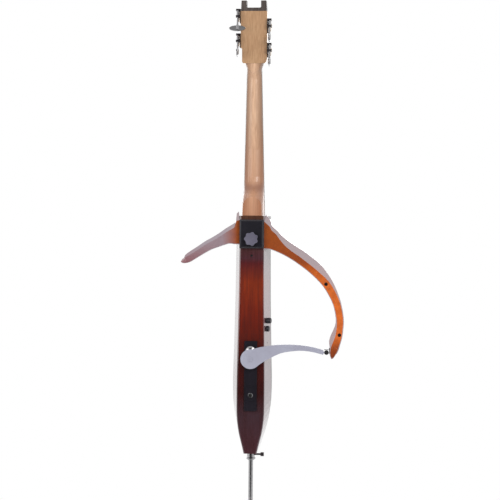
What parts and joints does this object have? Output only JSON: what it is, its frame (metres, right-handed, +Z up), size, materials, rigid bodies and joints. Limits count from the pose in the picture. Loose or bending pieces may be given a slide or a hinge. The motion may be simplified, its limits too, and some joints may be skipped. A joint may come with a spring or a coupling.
{
  "type": "electric double bass",
  "caption": "Slim-bodied electric double bass with a detachable treble wing and curved bass frame, a swinging support arm and a sliding endpin.",
  "frame": {"origin": "middle of the endpin's rubber foot, on the floor", "axes": "+Z up along the instrument, -Y towards the strings, +Y out of its back, +X towards the treble side"},
  "size_m": [0.5028, 0.1952, 1.7704],
  "materials": {
    "brown_lacquer": "gloss lacquer",
    "spruce_top": "gloss lacquer",
    "orange_lacquer": "gloss lacquer",
    "maple": "satin",
    "dark_crest": "satin",
    "ebony": "satin",
    "block_wood": "raw",
    "bridge_wood": "satin",
    "black_plate": "satin",
    "star_knob_grey": "matte",
    "arm_grey": "satin",
    "black_rubber": "matte",
    "black_plastic": "satin",
    "chrome": "polished",
    "dark_steel": "satin",
    "brass_metal": "satin",
    "string_steel": "satin",
    "board_green": "matte",
    "battery_case": "satin"
  },
  "bodies": {
    "body": {"body_shell": "brown_lacquer", "front_plate": "spruce_top", "neck_block": "block_wood", "end_block": "block_wood", "neck": "maple", "fingerboard": "ebony", "nut": "ebony", "pegbox": "maple", "head_fork": "dark_crest", "tuner_plate_e": "dark_steel", "tuner_plate_a": "dark_steel", "tuner_plate_d": "dark_steel", "tuner_plate_g": "dark_steel", "string_e": "string_steel", "string_a": "string_steel", "string_d": "string_steel", "string_g": "string_steel", "bridge": "bridge_wood", "bridge_foot_treble": "bridge_wood", "bridge_foot_bass": "bridge_wood", "pickup_treble": "brass_metal", "pickup_bass": "brass_metal", "tailpiece": "ebony", "tail_wire": "string_steel", "saddle": "ebony", "endpin_socket": "chrome", "clamp_block": "black_plate", "arm_bush": "chrome", "arm_screw": "arm_grey", "control_panel": "black_plastic", "battery": "battery_case", "jack_socket": "chrome", "circuit_board": "board_green", "tone_board": "board_green", "back_screw": "dark_steel"},
    "treble_wing": {"treble_wing": "orange_lacquer"},
    "bass_frame": {"bass_frame": "orange_lacquer", "frame_screw_upper": "dark_steel", "frame_screw_lower": "dark_steel", "frame_clip": "black_plastic"},
    "support_arm": {"support_arm": "arm_grey", "arm_ball": "black_rubber"},
    "endpin": {"endpin_rod": "chrome", "endpin_foot": "black_rubber"},
    "endpin_screw": {"endpin_screw": "dark_steel"},
    "star_knob": {"star_knob": "star_knob_grey"},
    "volume_knob": {"volume_knob": "chrome"},
    "tone_knob_upper": {"tone_knob_upper": "black_plastic"},
    "tone_knob_lower": {"tone_knob_lower": "black_plastic"},
    "battery_lid": {"battery_lid": "black_plastic"},
    "bridge_wheel_treble": {"bridge_wheel_treble": "brass_metal"},
    "bridge_wheel_bass": {"bridge_wheel_bass": "brass_metal"},
    "tuner_key_e": {"tuner_key_e": "chrome"},
    "tuner_gear_e": {"tuner_gear_e": "brass_metal"},
    "tuner_key_a": {"tuner_key_a": "chrome"},
    "tuner_gear_a": {"tuner_gear_a": "brass_metal"},
    "tuner_key_d": {"tuner_key_d": "chrome"},
    "tuner_gear_d": {"tuner_gear_d": "brass_metal"},
    "tuner_key_g": {"tuner_key_g": "chrome"},
    "tuner_gear_g": {"tuner_gear_g": "brass_metal"}
  },
  "joints": [
    {"name": "wing_slide", "type": "slide", "parent": "body", "child": "treble_wing", "axis": [1, 0, 0], "range_m": [0, 0.04]},
    {"name": "frame_slide", "type": "slide", "parent": "body", "child": "bass_frame", "axis": [-1, 0, 0], "range_m": [0, 0.04]},
    {"name": "arm_swing", "type": "hinge", "parent": "body", "child": "support_arm", "pos_m": [0, 0.057, 0.6706], "axis": [0, -1, 0], "range_deg": [0, 96]},
    {"name": "endpin_slide", "type": "slide", "parent": "body", "child": "endpin", "axis": [0, 0, 1], "range_m": [-0.08, 0.31]},
    {"name": "endpin_screw_turn", "type": "hinge", "parent": "body", "child": "endpin_screw", "pos_m": [-0.02, 0, 0.374], "axis": [1, 0, 0], "continuous": true},
    {"name": "clamp_knob_turn", "type": "hinge", "parent": "body", "child": "star_knob", "pos_m": [0, 0.06, 1.0365], "axis": [0, 1, 0], "continuous": true},
    {"name": "volume_turn", "type": "hinge", "parent": "body", "child": "volume_knob", "pos_m": [0, 0.0443, 0.6936], "axis": [0, 1, 0], "range_deg": [-150, 150]},
    {"name": "tone_upper_turn", "type": "hinge", "parent": "body", "child": "tone_knob_upper", "pos_m": [-0.04387, 0.02, 0.787], "axis": [-0.975, 0.2222, 0], "range_deg": [-150, 150]},
    {"name": "tone_lower_turn", "type": "hinge", "parent": "body", "child": "tone_knob_lower", "pos_m": [-0.04387, 0.02, 0.762], "axis": [-0.975, 0.2222, 0], "range_deg": [-150, 150]},
    {"name": "battery_lid_hinge", "type": "hinge", "parent": "body", "child": "battery_lid", "pos_m": [0, 0.0428, 0.5886], "axis": [1, 0, 0], "range_deg": [-100, 0]},
    {"name": "bridge_wheel_treble_turn", "type": "hinge", "parent": "body", "child": "bridge_wheel_treble", "pos_m": [0.038, -0.06, 0.524], "axis": [0, 1, 0], "continuous": true},
    {"name": "bridge_wheel_bass_turn", "type": "hinge", "parent": "body", "child": "bridge_wheel_bass", "pos_m": [-0.038, -0.06, 0.524], "axis": [0, 1, 0], "continuous": true},
    {"name": "tuner_key_e_turn", "type": "hinge", "parent": "body", "child": "tuner_key_e", "pos_m": [-0.049, 0.02641, 1.62446], "axis": [0, -0.2756, 0.9613], "continuous": true},
    {"name": "tuner_gear_e_turn", "type": "hinge", "parent": "body", "child": "tuner_gear_e", "pos_m": [-0.049, 0.00526, 1.6184], "axis": [1, 0, 0], "continuous": true},
    {"name": "tuner_key_a_turn", "type": "hinge", "parent": "body", "child": "tuner_key_a", "pos_m": [-0.049, 0.03415, 1.69806], "axis": [0, -0.2756, 0.9613], "continuous": true},
    {"name": "tuner_gear_a_turn", "type": "hinge", "parent": "body", "child": "tuner_gear_a", "pos_m": [-0.049, 0.013, 1.69199], "axis": [1, 0, 0], "continuous": true},
    {"name": "tuner_key_d_turn", "type": "hinge", "parent": "body", "child": "tuner_key_d", "pos_m": [0.049, 0.03723, 1.7274], "axis": [0, -0.2756, 0.9613], "continuous": true},
    {"name": "tuner_gear_d_turn", "type": "hinge", "parent": "body", "child": "tuner_gear_d", "pos_m": [0.049, 0.01608, 1.72133], "axis": [1, 0, 0], "continuous": true},
    {"name": "tuner_key_g_turn", "type": "hinge", "parent": "body", "child": "tuner_key_g", "pos_m": [0.049, 0.02944, 1.6533], "axis": [0, -0.2756, 0.9613], "continuous": true},
    {"name": "tuner_gear_g_turn", "type": "hinge", "parent": "body", "child": "tuner_gear_g", "pos_m": [0.049, 0.0083, 1.64724], "axis": [1, 0, 0], "continuous": true}
  ],
  "couplings": [
    {"joint": "tuner_gear_e_turn", "follows": "tuner_key_e_turn", "ratio": 0.055556},
    {"joint": "tuner_gear_a_turn", "follows": "tuner_key_a_turn", "ratio": 0.055556},
    {"joint": "tuner_gear_d_turn", "follows": "tuner_key_d_turn", "ratio": -0.055556},
    {"joint": "tuner_gear_g_turn", "follows": "tuner_key_g_turn", "ratio": -0.055556}
  ]
}
